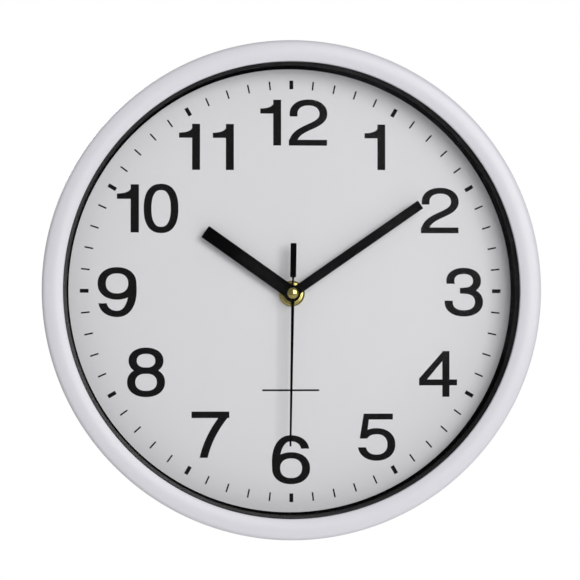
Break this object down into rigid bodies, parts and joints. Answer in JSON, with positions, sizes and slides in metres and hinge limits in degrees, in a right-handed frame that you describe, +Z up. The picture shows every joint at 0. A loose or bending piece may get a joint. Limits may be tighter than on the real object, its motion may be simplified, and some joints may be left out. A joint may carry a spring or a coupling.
{
  "type": "wall clock",
  "caption": "Round wall clock with a domed white rim, white numbered dial, black hands and a quartz movement behind the dial.",
  "frame": {"origin": "centre of the case on the plane of the wall, where the rear edge of the skirt rests", "axes": "+Z up to twelve o'clock, +X to three o'clock, +Y into the wall, so the dial faces -Y"},
  "size_m": [0.25, 0.04, 0.25],
  "materials": {
    "case_white": "satin moulded plastic, cool white",
    "lens_clear": "clear flat lens, polished",
    "spacer_black": "black, smooth",
    "dial_white": "matt light grey-white print ground",
    "back_white": "fine moulded texture, light grey-white",
    "screw_steel": "bright zinc-plated steel",
    "hanger_steel": "zinc-plated sheet steel",
    "movement_black": "black, fine spark-eroded texture",
    "cover_black": "black, satin",
    "natural_plastic": "natural ivory moulding",
    "brass": "polished brass",
    "rubber_black": "matt rubber",
    "copper_wire": "enamelled copper winding",
    "core_steel": "rolled electrical steel",
    "board_green": "green solder mask",
    "chip_black": "black epoxy",
    "can_steel": "drawn metal can",
    "contact_steel": "nickel-plated spring strip",
    "magnet": "sintered magnet",
    "wheel_white": "acetal, off-white",
    "wheel_orange": "acetal, orange",
    "shaft_steel": "turned steel",
    "knob_grey": "dark grey, satin",
    "hand_black": "black lacquer on aluminium",
    "battery_metal": "nickel-plated steel can",
    "battery_film": "shrink film, dark green"
  },
  "bodies": {
    "root": {"case_ring": "case_white", "lens": "lens_clear", "spacer_ring": "spacer_black", "dial": "dial_white", "back_plate": "back_white", "case_screws": "screw_steel", "hanger_plate": "hanger_steel", "hanger_screws": "screw_steel", "movement_case": "movement_black", "movement_cover": "cover_black", "middle_plate": "natural_plastic", "train_bridge": "natural_plastic", "threaded_sleeve": "brass", "rubber_washer": "rubber_black", "brass_washer": "brass", "sleeve_nut": "brass", "coil_bobbin": "natural_plastic", "coil_winding": "copper_wire", "coil_core": "core_steel", "stator": "core_steel", "stator_screws": "screw_steel", "circuit_board": "board_green", "clock_chip": "chip_black", "quartz_crystal": "can_steel", "contact_positive": "contact_steel", "contact_negative": "contact_steel"},
    "seconds": {"seconds_wheel": "wheel_white", "seconds_shaft": "shaft_steel", "second_hand": "hand_black", "second_hand_cap": "brass"},
    "minutes": {"centre_wheel": "wheel_orange", "minute_hand": "hand_black"},
    "hours": {"hour_wheel": "wheel_white", "hour_hand": "hand_black"},
    "rotor": {"rotor_magnet": "magnet", "rotor_pinion": "wheel_orange"},
    "intermediate": {"intermediate_wheel": "wheel_white"},
    "third": {"third_wheel": "wheel_white"},
    "minute_work": {"minute_wheel": "wheel_white"},
    "setting": {"setting_knob": "knob_grey"},
    "cell": {"battery": "battery_metal", "battery_sleeve": "battery_film"}
  },
  "joints": [
    {"name": "seconds_turn", "type": "hinge", "parent": "root", "child": "seconds", "pos_m": [0.0005, -0.02, -0.0016], "axis": [0, 1, 0], "continuous": true},
    {"name": "minutes_turn", "type": "hinge", "parent": "root", "child": "minutes", "pos_m": [0.0005, -0.02, -0.0016], "axis": [0, 1, 0], "continuous": true},
    {"name": "hours_turn", "type": "hinge", "parent": "root", "child": "hours", "pos_m": [0.0005, -0.02, -0.0016], "axis": [0, 1, 0], "continuous": true},
    {"name": "rotor_turn", "type": "hinge", "parent": "root", "child": "rotor", "pos_m": [-0.00551, -0.007, 0.01164], "axis": [0, 1, 0], "continuous": true},
    {"name": "intermediate_turn", "type": "hinge", "parent": "root", "child": "intermediate", "pos_m": [0.00206, -0.007, 0.00726], "axis": [0, 1, 0], "continuous": true},
    {"name": "third_turn", "type": "hinge", "parent": "root", "child": "third", "pos_m": [-0.0097, -0.009, -0.0016], "axis": [0, 1, 0], "continuous": true},
    {"name": "minute_work_turn", "type": "hinge", "parent": "root", "child": "minute_work", "pos_m": [0.0101, -0.013, -0.0016], "axis": [0, 1, 0], "continuous": true},
    {"name": "setting_turn", "type": "hinge", "parent": "root", "child": "setting", "pos_m": [0.0149, -0.006, 0.00671], "axis": [0, 1, 0], "continuous": true},
    {"name": "battery_slide", "type": "slide", "parent": "root", "child": "cell", "axis": [0, 1, 0], "range_m": [0, 0.03]}
  ],
  "couplings": [
    {"joint": "minutes_turn", "follows": "seconds_turn", "ratio": 0.016667},
    {"joint": "hours_turn", "follows": "seconds_turn", "ratio": 0.0013889},
    {"joint": "rotor_turn", "follows": "seconds_turn", "ratio": 30},
    {"joint": "intermediate_turn", "follows": "seconds_turn", "ratio": -5},
    {"joint": "third_turn", "follows": "seconds_turn", "ratio": -0.13333},
    {"joint": "minute_work_turn", "follows": "seconds_turn", "ratio": -0.0055556},
    {"joint": "setting_turn", "follows": "seconds_turn", "ratio": 0.016667}
  ]
}
